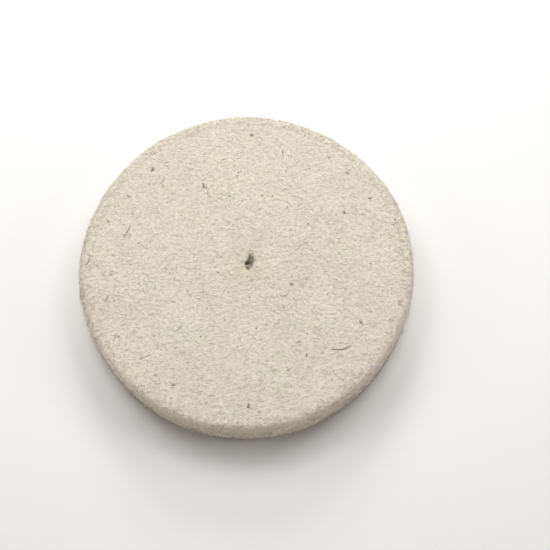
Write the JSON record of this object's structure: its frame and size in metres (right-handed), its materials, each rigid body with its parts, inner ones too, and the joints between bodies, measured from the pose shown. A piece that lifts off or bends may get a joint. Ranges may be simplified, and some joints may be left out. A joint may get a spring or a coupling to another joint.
{
  "type": "felt polishing wheel",
  "caption": "Flat round wool felt polishing wheel with rolled edges and a punched central pilot hole for a screw-tip mandrel.",
  "frame": {"origin": "centre of the bottom face, on the axis of the pilot hole", "axes": "+Z along the wheel's axis, from the bottom face to the top face; X and Y lie in the face"},
  "size_m": [0.0254, 0.0254, 0.0036],
  "materials": {
    "wool_felt": "matte pressed wool felt, natural cream white, fine fibre nap",
    "kemp_hair": "stray dark brown coarse wool hairs felted into the surface"
  },
  "bodies": {
    "root": {"felt_disc": "wool_felt"}
  },
  "joints": []
}
